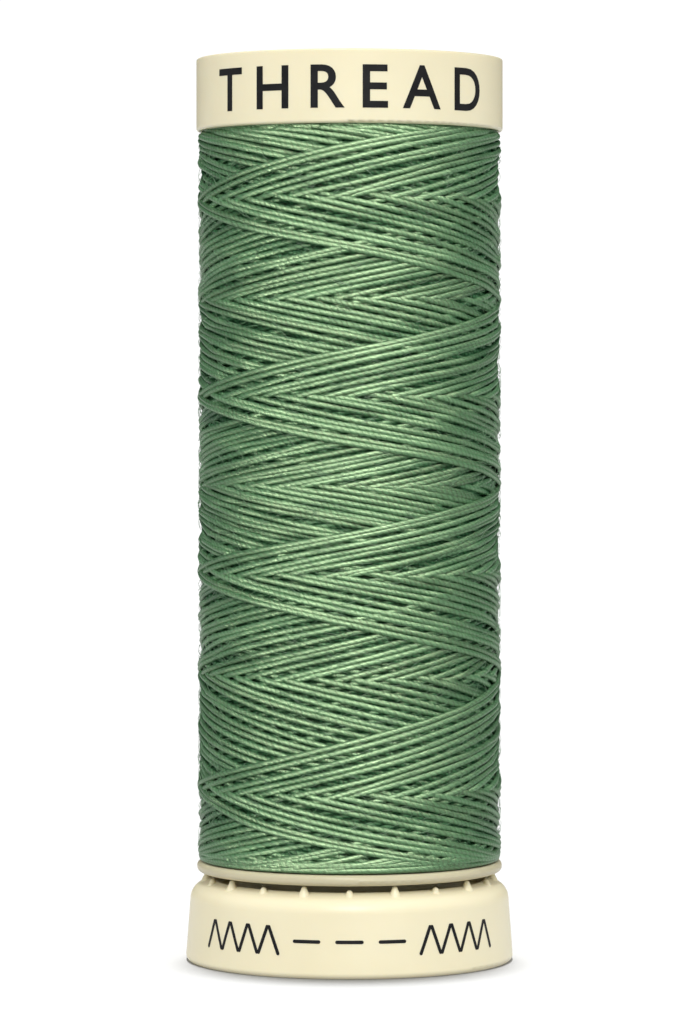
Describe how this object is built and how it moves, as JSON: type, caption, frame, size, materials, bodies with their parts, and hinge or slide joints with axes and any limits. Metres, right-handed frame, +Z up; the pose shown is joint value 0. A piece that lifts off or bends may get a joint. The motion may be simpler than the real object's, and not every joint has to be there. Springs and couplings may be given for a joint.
{
  "type": "spool of thread",
  "caption": "Cross-wound sewing thread on a flanged plastic barrel with a banded top cap and a snap-open foot whose teeth grip the loose end; a bore runs through for the spool pin.",
  "frame": {"origin": "centre of the foot's underside, on the surface the spool stands on", "axes": "+Z up along the spool's axis, from the foot to the top cap; -Y is the side with the printed words"},
  "size_m": [0.0213, 0.0214, 0.0587],
  "materials": {
    "cream_plastic": "satin moulded plastic, cream",
    "green_thread": "spun polyester sewing thread, leaf green, soft sheen",
    "label_paper": "matt printed paper",
    "black_ink": "pad-printed ink"
  },
  "bodies": {
    "foot": {"foot": "cream_plastic", "foot_label": "label_paper"},
    "spool": {"barrel": "cream_plastic", "thread_winding": "green_thread", "top_cap": "cream_plastic", "top_label": "label_paper"}
  },
  "joints": [
    {"name": "foot_snap", "type": "slide", "parent": "foot", "child": "spool", "axis": [0, 0, 1], "range_m": [0, 0.0025]}
  ]
}
